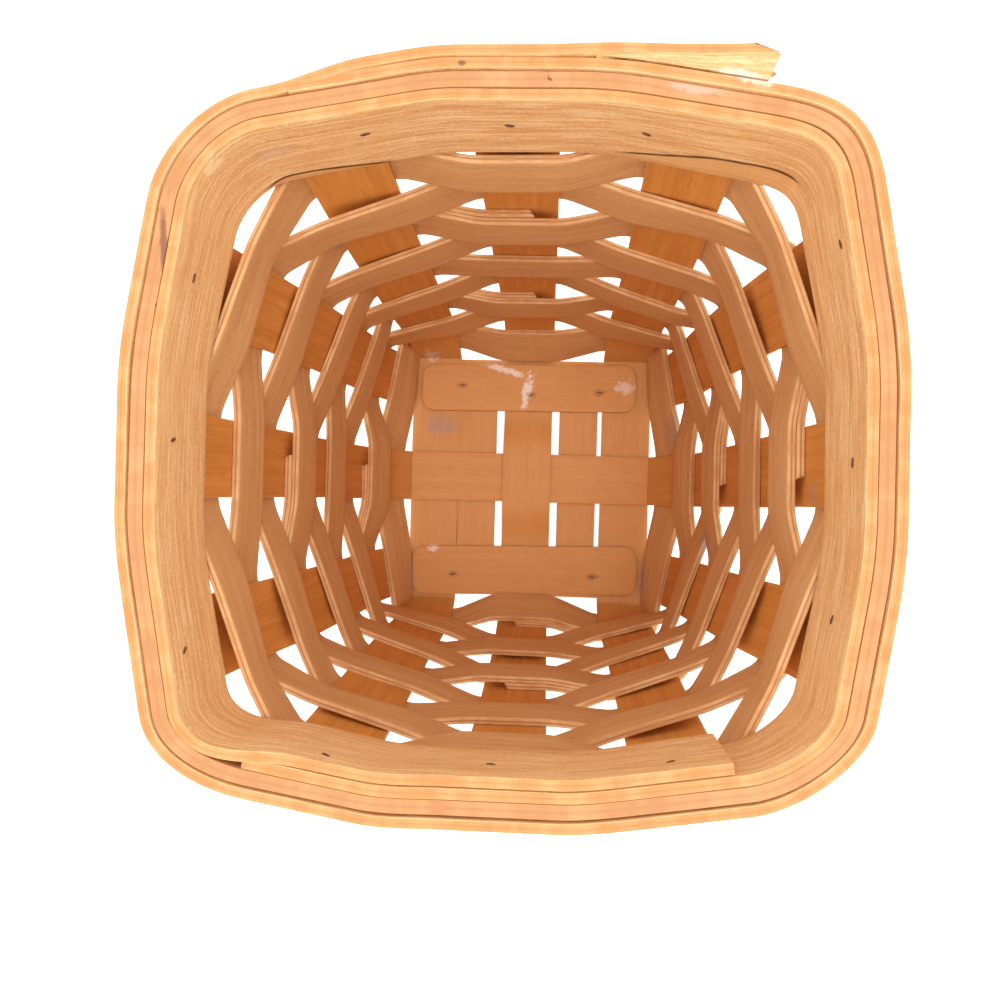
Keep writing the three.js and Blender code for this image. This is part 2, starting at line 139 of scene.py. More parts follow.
# an upright's middle at a height, with the directions along the wall and out of it
def uprightAt(index, height):
    wall, place, level = uprights[index]
    out, side = walls[wall]
    rise = max(0.0, (height - level) / (rimTop - level))
    along = place * (1 + b['outerSplay'] / outerSpacing * rise) + b['leans'][index] * rise
    bow = (b['lowBow'] * bowPeak * rise * (1 - rise) ** 2 + b['highBow'] * bowPeak * rise ** 2 * (1 - rise)
           + b['rimBow'] * rise) / outerSpacing ** 2
    gentle = 1 - b['steepShare'][wall] * math.exp(-max(0.0, height - level) / b['steepHeight'])
    reach = (b['baseReach'] + b['turnOut'][wall] * rise ** b['turnPower'] * gentle
             + (b['rimFlare'][wall] + b['rimPush'].get(index, 0)) * rise ** b['flarePower'] - bow * along * along)
    slope = -2 * bow * along
    centre = out * reach + side * along
    return centre, (side + out * slope).normalized(), (out - side * slope).normalized()


# a curve from start to end that leaves and arrives along the two pulls
def hermite(start, startPull, end, endPull, t):
    return (start * (2 * t ** 3 - 3 * t ** 2 + 1) + startPull * (t ** 3 - 2 * t ** 2 + t)
            + end * (3 * t ** 2 - 2 * t ** 3) + endPull * (t ** 3 - t ** 2))


# a band's line round the basket at one height, as a list of flat points
def lineRound(height, visits, sideSteps=14, cornerSteps=26, restSteps=8):
    reach = b['stakeWidth'] / 2 + b['overrun']
    points, previous = [], None
    for visit in visits:
        centre, tangent, normal = uprightAt(visit['index'], height)
        middle = centre + normal * visit['offset']
        start = middle + tangent * visit.get('from', -reach)
        end = middle + tangent * visit.get('to', reach)
        wall = uprights[visit['index']][0]
        if previous:
            lastPoint, lastTangent, lastWall = previous
            corner = wall != lastWall
            count = cornerSteps if corner else sideSteps
            bend = b['rimCornerBend'] * b['cornerShare'].get(visit['index'], 1) if corner else 1
            pull = (start - lastPoint).length * bend
            for k in range(1, count):
                points.append(hermite(lastPoint, lastTangent * pull, start, tangent * pull, k / count))
        points += [start.lerp(end, k / restSteps) for k in range(restSteps + 1)]
        previous = (end, tangent, wall)
    return points


# where a weaver turns at one height: at the edges of each upright. It lies on those that it passes
# outside, and runs between them as straight as the ones that it passes inside allow
def tautKnots(height, visits, ease):
    reach = b['stakeWidth'] / 2 + b['overrun']
    knots = []
    for visit in visits:
        centre, tangent, normal = uprightAt(visit['index'], height)
        for ahead in (visit.get('from', -reach), visit.get('to', reach)):
            foot = centre + tangent * ahead
            knots.append({'foot': foot, 'normal': normal, 'point': foot + normal * visit['offset'], **visit})
    for tries in range(b['tautTries']):
        for before, knot, after in zip(knots, knots[1:], knots[2:]):
            if knot['inside']:
                run = after['point'] - before['point']
                across = Vector((run.y, -run.x))
                straight = (before['point'] - knot['foot']).dot(across) / knot['normal'].dot(across)
                knot['point'] = knot['foot'] + knot['normal'] * min(knot['offset'], straight)
    # at the corners it is eased outward, its lower edge more than its upper one
    rise = height / rimTop
    for k, knot in enumerate(knots[1:-1], 1):
        if knot['inside'] and knot['index'] % 3 == (0 if k % 2 == 0 else 2):
            knot['point'] += knot['normal'] * ease * rise ** 2
    return [knot['point'] for knot in knots]


# a weaver's line at one height: straight between its knots, with a soft bend at each
def weaverLine(height, visits, ease, runSteps=10, bendSteps=6):
    knots = tautKnots(height, visits, ease)
    starts, ends = [knots[0]], []
    for before, knot, after in zip(knots, knots[1:], knots[2:]):
        reach = min(b['softBend'], (knot - before).length / b['bendLimit'], (after - knot).length / b['bendLimit'])
        ends.append(knot + (before - knot).normalized() * reach)
        starts.append(knot + (after - knot).normalized() * reach)
    ends.append(knots[-1])
    points = []
    for k, (start, end) in enumerate(zip(starts, ends)):
        points += [start.lerp(end, step / runSteps) for step in range(runSteps + 1)]
        if k + 1 < len(starts):
            knot, leaving = knots[k + 1], starts[k + 1]
            for step in range(1, bendSteps):
                share = step / bendSteps
                points.append(end.lerp(knot, share).lerp(knot.lerp(leaving, share), share))
    return points


def shifted(visits, outward):
    return [{**visit, 'offset': visit['offset'] + outward} for visit in visits]


# how far an upright's curve stands out between the two edges of a weaver
def belly(index, low, high):
    ends = (uprightAt(index, low)[0] + uprightAt(index, high)[0]) / 2
    middle, tangent, normal = uprightAt(index, (low + high) / 2)
    return max(0.0, (middle - ends).dot(normal))


# a weaver passes fourteen uprights: once round the basket, and two more where it laps over its start
def weaverVisits(row, low, high):
    first = (10, 1, 4, 7)[(row - 1) % 4]
    visits = []
    for count in range(14):
        index = (first + count) % 12
        inside = count % 2 == 0
        offset = -weaverOffset if inside else weaverOffset + belly(index, low, high)
        offset -= b['slack'].get((row, index), 0)
        visits.append({'index': index, 'offset': offset, 'inside': inside})
    visits[0]['from'] = -b['startLead']
    visits[1]['offset'] += weaverLap
    visits[12]['offset'] -= weaverLap
    visits[13]['to'] = b['finishLead']
    return visits


# the lowest rows' bottom edges lie further in, over the edge of the base
def tucked(visits, row):
    tuck = b['lowTuck'].get(row, 0)
    return [dict(visit, offset=visit['offset'] - tuck) if visit['inside'] else visit for visit in visits]


# a band passes all uprights on one side
def bandVisits(first, count, offset):
    return [{'index': (first + k) % 12, 'offset': offset} for k in range(count)]


# the length run at each point of a line
def runsOf(line):
    runs = [0.0]
    for here, after in zip(line, line[1:]):
        runs.append(runs[-1] + (after - here).length)
    return runs


# 0 before start, 1 after end, smooth between
def smooth(start, end, value):
    share = min(1.0, max(0.0, (value - start) / (end - start)))
    return share * share * (3 - 2 * share)


# a line pushed outward, by a length that depends on the run so far
def pushed(line, lengthAt):
    moved = []
    for k, (point, run) in enumerate(zip(line, runsOf(line))):
        ahead = (line[min(k + 1, len(line) - 1)] - line[max(k - 1, 0)]).normalized()
        moved.append(point + Vector((ahead.y, -ahead.x)) * lengthAt(run))
    return moved


# where a lapping line comes past its own start again, and where it passes its end for the first time
def lapRuns(line):
    runs, half = runsOf(line), len(line) // 2
    again = min(range(half, len(line)), key=lambda k: (line[k] - line[0]).length)
    passed = min(range(half), key=lambda k: (line[k] - line[-1]).length)
    return runs[again], runs[passed]


# faces point outwards, and are smooth up to a sharp edge
def turnFacesOut(sharp=35):
    bpy.ops.object.mode_set(mode='EDIT')
    bpy.ops.mesh.select_all(action='SELECT')
    bpy.ops.mesh.normals_make_consistent(inside=False)
    bpy.ops.object.mode_set(mode='OBJECT')
    bpy.ops.object.shade_smooth_by_angle(angle=math.radians(sharp))


# every splint: its edges wander a little, and are worn round
splintEdge = {'rows': 10, 'bevel': 0.0003, 'segments': 2, 'sharp': 50, 'wander': 0.00025, 'driftScale': 28,
              'seedScale': 7.1, 'driftSides': (3.5, 0.5)}


# a splint laid along a surface: place(i, j) gives its middle, i along it and j across it
def laySplint(name, columns, rows, place, thickness, width, seed, wander=splintEdge['wander']):
    bpy.ops.mesh.primitive_grid_add(x_subdivisions=columns, y_subdivisions=rows, size=1)
    splint = bpy.context.object
    splint.name = splint.data.name = name
    mesh = splint.data
    cells = [(round((v.co.x + 0.5) * columns), round((v.co.y + 0.5) * rows)) for v in mesh.vertices]
    middle = [place(i, rows / 2) for i in range(columns + 1)]
    along = runsOf(middle)
    for vertex, (i, j) in zip(mesh.vertices, cells):
        side = splintEdge['driftSides'][j * 2 > rows]
        drift = noise.noise(Vector((along[i] * splintEdge['driftScale'], seed * splintEdge['seedScale'], side)))
        slip = 2 * j / rows - 1
        point = place(i, j)
        towards = place(i, rows) - place(i, 0)
        vertex.co = point + towards.normalized() * drift * wander * slip * abs(slip)
    grain = mesh.attributes.new('grain', 'FLOAT_VECTOR', 'POINT')
    shares = mesh.attributes.new('shares', 'FLOAT_VECTOR', 'POINT')
    for k, (i, j) in enumerate(cells):
        grain.data[k].vector = (along[i], (j / rows - 0.5) * width, seed)
        shares.data[k].vector = (along[i] / along[-1], j / rows, 0)
    shell = splint.modifiers.new('thickness', 'SOLIDIFY')
    shell.thickness = thickness
    shell.offset = 0
    shell.use_even_offset = True
    bpy.ops.object.modifier_apply(modifier=shell.name)
    shares = mesh.attributes['shares']
    for k in range(len(cells), len(mesh.vertices)):
        was = shares.data[k].vector
        shares.data[k].vector = (was[0], was[1], 1)
    edges = splint.modifiers.new('worn edges', 'BEVEL')
    edges.width = splintEdge['bevel']
    edges.segments = splintEdge['segments']
    edges.limit_method = 'ANGLE'
    edges.angle_limit = math.radians(splintEdge['sharp'])
    bpy.ops.object.modifier_apply(modifier=edges.name)
    turnFacesOut()
    splint.select_set(False)
    return splint


# cuts one end of a splint at a slant or tears it: its inner and outer faces are drawn back by different lengths
endCut = {'share': 0.0005, 'heightScale': 900, 'sideScale': 300}


def cutEnd(piece, line, atStart, inner, outer, jag=0.0):
    mesh = piece.data
    shares = mesh.attributes['shares']
    end, before = (line[0], line[3]) if atStart else (line[-1], line[-4])
    back = (before - end).normalized()
    across = Vector((-back.y, back.x)) if atStart else Vector((back.y, -back.x))
    for k, vertex in enumerate(mesh.vertices):
        share = shares.data[k].vector[0]
        near = share < endCut['share'] if atStart else share > 1 - endCut['share']
        if near:
            flat = Vector((vertex.co.x, vertex.co.y)) - end
            drawn = outer if flat.dot(-across) > 0 else inner
            place = Vector((vertex.co.z * endCut['heightScale'], drawn * endCut['sideScale'], share))
            drawn += jag * noise.noise(place)
            vertex.co += Vector((back.x, back.y, 0)) * drawn


# gives a piece its wood, moves its mesh to where the solids stand, and hangs it on the basket
def finishPiece(piece, node, material):
    piece.data.materials.clear()
    piece.data.materials.append(material)
    piece.data.transform(Matrix.Translation(shift))
    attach(piece, 'root')
    if node:
        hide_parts(node)


# strips on edge round the basket, between a line at their lower edge and one at their upper edge
def layRound(name, lowLine, highLine, low, high, thickness, seed, lift=0.0, liftScale=16):
    rows = splintEdge['rows']
    columns = len(lowLine) - 1

    def place(i, j):
        share = j / rows
        point = lowLine[i].lerp(highLine[i], share)
        rise = low + (high - low) * share
        rise += lift * noise.noise(Vector((point.x * liftScale, point.y * liftScale, seed)))
        return Vector((point.x, point.y, rise))

    return laySplint(name, columns, rows, place, thickness, high - low, seed)


# shader maths on sockets
class Value:
    def __init__(self, tree, socket):
        self.tree = tree
        self.socket = socket

    def maths(self, operation, *others):
        return self.tree.add('Math', {'operation': operation}, dict(enumerate((self,) + others)))

    def __add__(self, other):
        return self.maths('ADD', other)

    def __sub__(self, other):
        return self.maths('SUBTRACT', other)

    def __mul__(self, other):
        return self.maths('MULTIPLY', other)

    def __pow__(self, other):
        return self.maths('POWER', other)

    def __neg__(self):
        return self.maths('MULTIPLY', -1)

    def __rsub__(self, other):
        return -self + other

    __radd__ = __add__
    __rmul__ = __mul__

    def absolute(self):
        return self.maths('ABSOLUTE')

    # 0 before start, 1 after end, smooth between
    def step(self, start, end):
        settings = {'interpolation_type': 'SMOOTHSTEP'}
        return self.tree.add('MapRange', settings, {'Value': self, 'From Min': start, 'From Max': end})


# one material's nodes; add makes a node of any type: its settings first, then the values or links of its sockets
class Tree:
    def __init__(self, name):
        self.material = bpy.data.materials.new(name)
        self.material.use_nodes = True
        self.nodes = self.material.node_tree.nodes
        self.links = self.material.node_tree.links
        self.nodes.clear()

    def add(self, kind, settings=None, sockets=None, out=None):
        node = self.nodes.new('ShaderNode' + kind)
        for key, value in (settings or {}).items():
            setattr(node, key, value)
        for key, value in (sockets or {}).items():
            if isinstance(key, int):
                socket = node.inputs[key]
            else:
                socket = next(s for s in node.inputs if key in (s.identifier, s.name) and s.enabled)
            if isinstance(value, Value):
                self.links.new(value.socket, socket)
            else:
                socket.default_value = value
        if not node.outputs:
            return None
        return Value(self, next(s for s in node.outputs if s.enabled and out in (None, s.identifier, s.name)))

    def blend(self, factor, a, b):
        sockets = {'Factor_Float': factor, 'A_Color': a, 'B_Color': b}
        return self.add('Mix', {'data_type': 'RGBA'}, sockets, 'Result_Color')

    def vector(self, operation, a, b):
        return self.add('VectorMath', {'operation': operation}, {0: a, 1: b})

    # noise, stretched by a scale along each axis
    def noise(self, place, scale, detail, roughness):
        return self.add('TexNoise', None, {'Vector': self.vector('MULTIPLY', place, scale), 'Scale': 1.0,
                                           'Detail': detail, 'Roughness': roughness})

    def split(self, vector):
        return [self.add('SeparateXYZ', None, {0: vector}, axis) for axis in 'XYZ']

    # 1 in an ellipsoid on the wood, 0 outside it, with a torn outline
    def patch(self, place, tear, mark):
        centre = Vector(mark['at']) * mm + shift
        size = Vector(mark['size']) * mm
        local = self.add('Mapping', {'vector_type': 'TEXTURE'},
                         {'Vector': place, 'Location': centre, 'Rotation': (0, 0, mark.get('turn', 0)), 'Scale': size})
        reach = self.add('VectorMath', {'operation': 'LENGTH'}, {0: local}, 'Value')
        return 1 - (reach + (tear - 0.5) * mark['torn'] * 3).step(0.45, 1.15)

    def surface(self, colour, roughness, normal):
        shader = self.add('BsdfPrincipled', None, {'Base Color': colour, 'Roughness': roughness, 'Normal': normal})
        self.add('OutputMaterial', None, {'Surface': shader})
        return self.material


# a colour as a picture names it, 0 to 255
def rgb(red, green, blue):
    linear = [c / 255 / 12.92 if c <= 10 else ((c / 255 + 0.055) / 1.055) ** 2.4 for c in (red, green, blue)]
    return (*linear, 1)


# splits near the lower edge in the back wall, drawn as painted shade: a dark hairline of painted shade where each
# split's gap lies in shadow, and painted shade on the band below that line. The line rises on the right and makes a low
# hump on the left. Heights are over the band's bottom.
# Both bands are of this wood, so the outer one shows them too
rimSplitShade = {
    'backWall': (0.055, 0.057), 'ends': (0.006, 0.004), 'soft': 0.0002, 'crackWidth': (0.00015, 0.0006),
    'fibreScale': (90, 90, 400), 'shadeBelowDepth': 0.55, 'crackShadeDepth': 0.95,
    'right': {'from': 0.020, 'to': 0.066, 'rise': (0.018, 0.046), 'height': 0.0052, 'start': 0.0014},
    'left': {'from': -0.062, 'to': -0.024, 'rise': (-0.062, -0.048), 'fall': (-0.045, -0.022), 'height': 0.0028,
             'start': -0.0008},
}


def paintRimSplitShade(tree, place, look, colour):
    s = rimSplitShade
    right, left = s['right'], s['left']
    x, y, z = tree.split(place)
    x = x - shift.x
    over = z - bandBottom
    back = y.step(*s['backWall'])
    fibre = tree.noise(place, s['fibreScale'], 2.0, 0.5) * mm
    rightLine = x.step(*right['rise']) * right['height'] + right['start'] + fibre
    leftLine = x.step(*left['rise']) * (1 - x.step(*left['fall'])) * left['height'] + left['start'] + fibre
    for line, side in ((rightLine, right), (leftLine, left)):
        along = x.step(side['from'], side['from'] + s['ends'][0]) * (1 - x.step(side['to'] - s['ends'][1], side['to']))
        along = along * back
        # painted shade: the band below the split line is darkened towards its warm tone
        shadeBelowSplit = 1 - (over - line).step(-s['soft'], s['soft'])
        colour = tree.blend(shadeBelowSplit * along * s['shadeBelowDepth'], colour, look['warm'])
        # painted shade: a dark hairline where the split's gap lies in shadow
        crackShade = 1 - (over - line).absolute().step(*s['crackWidth'])
        colour = tree.blend(crackShade * along * s['crackShadeDepth'], colour, look['crackShade'])
    return colour


# noises of the wood: scales along the splint, across it and by its seed, then detail and roughness
grains = {
    'fine': ((70, 1500, 31), 4.0, 0.6), 'streak': ((14, 420, 17), 3.0, 0.55), 'broad': ((7, 90, 11), 2.0, 0.5),
    'speckle': ((1100, 2400, 9), 2.0, 0.6), 'bend': ((11, 26, 5), 2.0, 0.5), 'pores': ((230, 2600, 23), 1.0, 0.5),
    'crumble': ((160, 200, 3), 3.0, 0.6),
}
fullTurn = 6.283


# wood splint: faces with long fibres and a flowing figure, edges that show the plies
def splintWood(name, look):
    tree = Tree(name)
    grain = tree.add('Attribute', {'attribute_name': 'grain'}, None, 'Vector')
    shares = tree.add('Attribute', {'attribute_name': 'shares'}, None, 'Vector')
    width, through = tree.split(shares)[1:]
    across, seed = tree.split(grain)[1:]
    fine, streak, broad, speckle, bend, pores, crumble = (tree.noise(grain, *values) for values in grains.values())
    figure = ((across * look['figure'] + bend * 9 + seed * 3) * fullTurn).maths('SINE') * 0.5 + 0.5
    figure = (figure ** 3) * broad.step(0.35, 0.7)
    pores = pores.step(0.6, 0.72)
    place = tree.add('TexCoord', None, None, 'Object')
    blotch = tree.noise(place, (28, 28, 34), 3.0, 0.55)

    face = tree.blend(streak.step(0.3, 0.72), look['deep'], look['base'])
    face = tree.blend(fine.step(0.45, 0.65) * look['fibre'], face, look['pale'])
    face = tree.blend((1 - fine.step(0.35, 0.5)) * look['fibre'] * 0.6, face, look['deep'])
    face = tree.blend(figure * look['figureDepth'], face, look['deep'])
    face = tree.blend(pores * look['pores'], face, look['line'])
    face = tree.blend(speckle.step(0.5, 0.7) * look['speckle'], face, look['pale'])
    face = tree.blend((1 - speckle.step(0.3, 0.5)) * look['speckle'] * 0.7, face, look['warm'])
    face = tree.blend((blotch.step(0.35, 0.7) * 0.5 + broad * 0.3) * look['blotch'], face, look['warm'])
    nearEdge = (width - 0.5).absolute().step(0.47, 0.5)
    face = tree.blend(nearEdge * (streak * 0.7), face, look['pale'])
    # towards the bottom the stakes take a dustier tone with warmer, darker blotches: partly dust on the base, partly
    # painted shade deep in the basket
    low = 1 - tree.split(place)[2].step(0.006, 0.03)
    face = tree.blend(low * look['dustAndShade'] * (blotch * 0.9 + 0.5), face, look['dustAndShadeTone'])
    face = tree.blend(low * look['dustAndShade'] * blotch.step(0.5, 0.68) * 0.6, face, look['warm'])

    fromMiddle = (through - 0.5).absolute()
    edge = tree.blend(crumble.step(0.3, 0.75), look['edgeDeep'], look['edge'])
    hairline = (1 - fromMiddle.step(0.03, 0.16)) * crumble.step(0.25, 0.5)
    edge = tree.blend(hairline * look['hairline'], edge, look['line'])
    onEdge = 1 - fromMiddle.step(0.44, 0.49)
    colour = tree.blend(onEdge, face, edge)
    tear = tree.noise(place, (520, 520, 520), 3.0, 0.65)
    for mark in look['marks']:
        colour = tree.blend(tree.patch(place, tear, mark) * mark['strength'], colour, mark['tint'])
    # painted shade along the band's splits
    if look['splitShade']:
        colour = paintRimSplitShade(tree, place, look, colour)

    height = fine * 0.6 + streak * 0.5 - pores * 0.8 - hairline * onEdge * 0.8
    bump = tree.add('Bump', None, {'Height': height, 'Strength': 0.35, 'Distance': 0.0003})
    roughness = 0.52 + fine * 0.16 + onEdge * 0.12
    return tree.surface(colour, roughness, bump)


# smears and stains that cross several strips, placed in millimetres in the basket's own frame
white, grey, rust = rgb(250, 234, 218), rgb(158, 146, 150), rgb(120, 70, 40)
stains = [
    {'at': (-10, 43.2, 6), 'size': (10, 1.5, 4), 'turn': -0.3, 'torn': 0.9, 'tint': white, 'strength': 0.9},
    {'at': (-1.6, 35, 6), 'size': (2.2, 7, 4), 'turn': -0.2, 'torn': 0.9, 'tint': white, 'strength': 0.95},
    {'at': (-40.7, 50, 5), 'size': (4, 4, 6), 'torn': 1, 'tint': white, 'strength': 0.45},
    {'at': (37.4, 37.2, 6), 'size': (4, 3, 4), 'torn': 1, 'tint': white, 'strength': 0.6},
    {'at': (-38.1, -29.3, 6), 'size': (2.4, 1.8, 4), 'torn': 0.6, 'tint': white, 'strength': 0.8},
    {'at': (49.7, -41, 4), 'size': (5, 12, 8), 'torn': 0.8, 'tint': grey, 'strength': 0.5},
    {'at': (-48.8, -42, 4), 'size': (4, 10, 8), 'torn': 0.8, 'tint': grey, 'strength': 0.45},
    {'at': (-35.8, 20.6, 4), 'size': (8, 5, 4), 'torn': 0.9, 'tint': grey, 'strength': 0.4},
    {'at': (62, -20.5, 62), 'size': (6, 6, 7), 'torn': 0.8, 'tint': grey, 'strength': 0.5},
    {'at': (68, -4.2, 157), 'size': (4, 4, 5), 'torn': 0.8, 'tint': grey, 'strength': 0.4},
    {'at': (56.6, 19, 20), 'size': (5, 8, 9), 'torn': 0.8, 'tint': grey, 'strength': 0.4},
]
staples = ((-27.7, 37.0), (-0.1, 33.6), (27.5, 35.0), (-29.6, -39.6), (26.5, -38.9))
for x, y in staples:
    stains.append({'at': (x, y, 6), 'size': (2.6, 1.5, 2), 'torn': 0.7, 'tint': rust, 'strength': 0.4})

woods = {
    'stake': {
        'deep': rgb(208, 132, 54), 'base': rgb(228, 154, 72), 'pale': rgb(238, 174, 98), 'warm': rgb(216, 138, 54),
        'line': rgb(132, 76, 36), 'edge': rgb(226, 168, 108), 'edgeDeep': rgb(200, 136, 78), 'dustAndShadeTone': rgb(224, 164, 98),
        'fibre': 0.3, 'figure': 160, 'figureDepth': 0.3, 'blotch': 0.6, 'hairline': 0.5,
        'pores': 0.12, 'speckle': 0.3, 'dustAndShade': 0.6, 'marks': stains, 'splitShade': False,
    },
    'weaver': {
        'deep': rgb(210, 154, 96), 'base': rgb(230, 180, 122), 'pale': rgb(242, 198, 144), 'warm': rgb(216, 158, 98),
        'line': rgb(146, 92, 50), 'edge': rgb(240, 190, 134), 'edgeDeep': rgb(214, 154, 98),
        'dustAndShadeTone': rgb(222, 164, 108), 'fibre': 0.4, 'figure': 170, 'figureDepth': 0.35, 'blotch': 0.6, 'hairline': 0.6,
        'pores': 0.2, 'speckle': 0.5, 'dustAndShade': 0, 'marks': stains, 'splitShade': False,
    },
    'band': {
        'deep': rgb(216, 154, 90), 'base': rgb(246, 196, 134), 'pale': rgb(255, 224, 172), 'warm': rgb(230, 170, 104),
        'line': rgb(150, 94, 50), 'edge': rgb(228, 170, 108), 'edgeDeep': rgb(208, 142, 80),
        'dustAndShadeTone': rgb(222, 164, 108), 'fibre': 0.75, 'figure': 190, 'figureDepth': 0.3, 'blotch': 0.5, 'hairline': 0.25,
        'pores': 0.4, 'speckle': 0.6, 'dustAndShade': 0, 'splitShade': True, 'crackShade': rgb(74, 36, 16),
        'marks': [
            {'at': (45.5, 75.7, 192), 'size': (5.5, 1.3, 4), 'turn': -0.25, 'torn': 0.7, 'tint': white,
             'strength': 0.6},
            {'at': (52.5, 81.3, 192), 'size': (4, 2.2, 5), 'turn': -0.6, 'torn': 0.6, 'tint': rgb(206, 164, 146),
             'strength': 0.7},
            {'at': (-10.1, 78.4, 192), 'size': (1, 0.8, 2), 'torn': 0.2, 'tint': rust, 'strength': 0.8},
            {'at': (-50, 64, 183), 'size': (6, 4, 2), 'torn': 0.9, 'tint': grey, 'strength': 0.2},
            {'at': (-60, 58, 190), 'size': (3, 3, 2), 'torn': 0.6, 'tint': rgb(252, 222, 166), 'strength': 0.7},
        ],
    },
    'filler': {
        'deep': rgb(204, 142, 88), 'base': rgb(218, 160, 106), 'pale': rgb(228, 176, 124), 'warm': rgb(206, 144, 90),
        'line': rgb(146, 94, 54), 'edge': rgb(218, 158, 104), 'edgeDeep': rgb(200, 138, 86),
        'dustAndShadeTone': rgb(222, 164, 108), 'fibre': 0.5, 'figure': 190, 'figureDepth': 0.3, 'blotch': 0.5, 'hairline': 0.2,
        'pores': 0.3, 'speckle': 0.4, 'dustAndShade': 0, 'splitShade': False,
        'marks': [
            {'at': (36, 73.8, 192), 'size': (7, 1.4, 4), 'turn': -0.1, 'torn': 0.6, 'tint': rgb(226, 178, 158),
             'strength': 0.7},
            {'at': (-69.1, 41.5, 192), 'size': (0.9, 9.5, 5), 'turn': 0.06, 'torn': 0.3, 'tint': rgb(136, 84, 62),
             'strength': 0.85},
            {'at': (-70.2, 30.1, 192), 'size': (0.6, 0.6, 4), 'torn': 0.1, 'tint': rgb(70, 36, 24), 'strength': 0.9},
        ],
    },
}
wood = {name: splintWood(name + 'Wood', look) for name, look in woods.items()}
print('woods mixed:', ', '.join(wood))

# weavers, from the top row down
weaving = {'lift': 0.0012, 'seed': 2.0, 'seedStep': 1.37, 'slant': 0.0012, 'jag': 0.0008}
for row in range(1, b['rowCount'] + 1):
    low = b['firstRowHeight'] + (b['rowCount'] - row) * b['rowPitch'] - b['weaverWidth'] / 2
    high = low + b['weaverWidth']
    visits = weaverVisits(row, low, high)
    lowLine = weaverLine(low, tucked(visits, row), b['cornerEase']['low'])
    highLine = weaverLine(high, visits, b['cornerEase']['high'])
    seed = weaving['seed'] + row * weaving['seedStep']
    piece = layRound(f'weaver{row}', lowLine, highLine, low, high, b['weaverThickness'], seed, weaving['lift'])
    cutEnd(piece, highLine, True, 0.0, weaving['slant'], weaving['jag'])
    cutEnd(piece, highLine, False, weaving['slant'], 0.0, weaving['jag'])
    finishPiece(piece, f'weaver_row_{row}', wood['weaver'])
print('weavers laid')

# the inner band starts in the front wall and laps over its start there, on the inside
lapping = {'from': -0.013, 'to': 0.009, 'ramp': 0.012, 'tuck': 0.010, 'seed': 21.0}
innerVisits = bandVisits(9, 15, innerBand)
innerVisits[0]['from'] = lapping['from']
innerVisits[14]['to'] = lapping['to']
innerLines = []
for height in (bandBottom, rimTop):
    line = lineRound(height, innerVisits)
    again = lapRuns(line)[0]
    start, end = again - lapping['ramp'], again + lapping['tuck']
    innerLines.append(pushed(line, lambda run: -bandLap * smooth(start, end, run)))
piece = layRound('rimInnerBand', *innerLines, bandBottom, rimTop, b['bandThickness'], lapping['seed'])
finishPiece(piece, 'rim_band_inner', wood['band'])

# the outer band laps over its end in the back wall; it is torn off where it starts, and has sprung away from the rim
torn = {
    'from': -0.0095, 'to': 0.005, 'ramp': 0.0168, 'tuck': 0.005, 'spring': 0.0050, 'reach': 0.044, 'power': 1.8,
    'outer': 0.0042, 'inner': -0.0008, 'jag': 0.0032, 'seed': 23.0,
}
outerVisits = bandVisits(3, 15, outerLow)
outerVisits[0]['from'] = torn['from']
outerVisits[14]['to'] = torn['to']
splitEnd = {'depth': 0.009, 'tip': 0.0022, 'innerTip': 0.00066, 'length': 0.034, 'gap': 0.0001, 'drop': 0.0002,
            'rough': 0.0004, 'seed': 27.0}
outerLines, plyLines = [], []
for height, lean in ((bandBottom, 0), (rimTop, outerTop - outerLow)):
    line = lineRound(height, shifted(outerVisits, lean))
    passed = lapRuns(line)[1]
    start, end = passed - torn['ramp'], passed + torn['tuck']
    lift = lambda run: bandLap * (1 - smooth(start, end, run))
    spring = lambda run: torn['spring'] * max(0.0, 1 - run / torn['reach']) ** torn['power']
    face = b['bandThickness'] / 2
    outerLines.append(pushed(line, lambda run: lift(run) + spring(run)))
    plyLines.append(pushed(line, lambda run: lift(run) - face))
    plyLines.append(pushed(line, lambda run: lift(run) + spring(run) - face - splitEnd['gap']))
piece = layRound('rimOuterBand', *outerLines, bandBottom, rimTop, b['bandThickness'], torn['seed'])
cutEnd(piece, outerLines[1], True, torn['inner'], torn['outer'], torn['jag'])
finishPiece(piece, 'rim_band_outer', wood['band'])


# the split layer that fills the gap behind the sprung end; its top lies between two lines
def addSplitLayer(name, inner, outer, top, depth, seed):
    columns, rows = len(inner) - 1, 2
    bpy.ops.mesh.primitive_grid_add(x_subdivisions=columns, y_subdivisions=rows, size=1)
    splitLayer = bpy.context.object
    splitLayer.name = splitLayer.data.name = name
    mesh = splitLayer.data
    cells = [(round((v.co.x + 0.5) * columns), round((v.co.y + 0.5) * rows)) for v in mesh.vertices]
    runs = runsOf(inner)
    grain = mesh.attributes.new('grain', 'FLOAT_VECTOR', 'POINT')
    shares = mesh.attributes.new('shares', 'FLOAT_VECTOR', 'POINT')
    for k, (vertex, (i, j)) in enumerate(zip(mesh.vertices, cells)):
        flat = inner[i].lerp(outer[i], j / rows)
        rough = splitEnd['rough'] * noise.noise(Vector((runs[i] * 300, j * 1.7, seed)))
        vertex.co = Vector((flat.x, flat.y, top - rough))
        grain.data[k].vector = (runs[i], (j / rows - 0.5) * 0.004, seed)
        shares.data[k].vector = (0.5, 0.5, 0)
    shell = splitLayer.modifiers.new('depth', 'SOLIDIFY')
    shell.thickness = depth
    shell.offset = 1
    bpy.ops.object.modifier_apply(modifier=shell.name)
    turnFacesOut()
    splitLayer.select_set(False)
    return splitLayer


count = sum(1 for run in runsOf(plyLines[2]) if run < splitEnd['length'])
layerLines = []
for line, past in ((plyLines[2][:count], splitEnd['innerTip']), (plyLines[3][:count], splitEnd['tip'])):
    layerLines.append([line[0] + (line[0] - line[2]).normalized() * past] + line)
piece = addSplitLayer('splitLayer', *layerLines, rimTop - splitEnd['drop'], splitEnd['depth'], splitEnd['seed'])
finishPiece(piece, None, wood['band'])
print('rim bands laid')

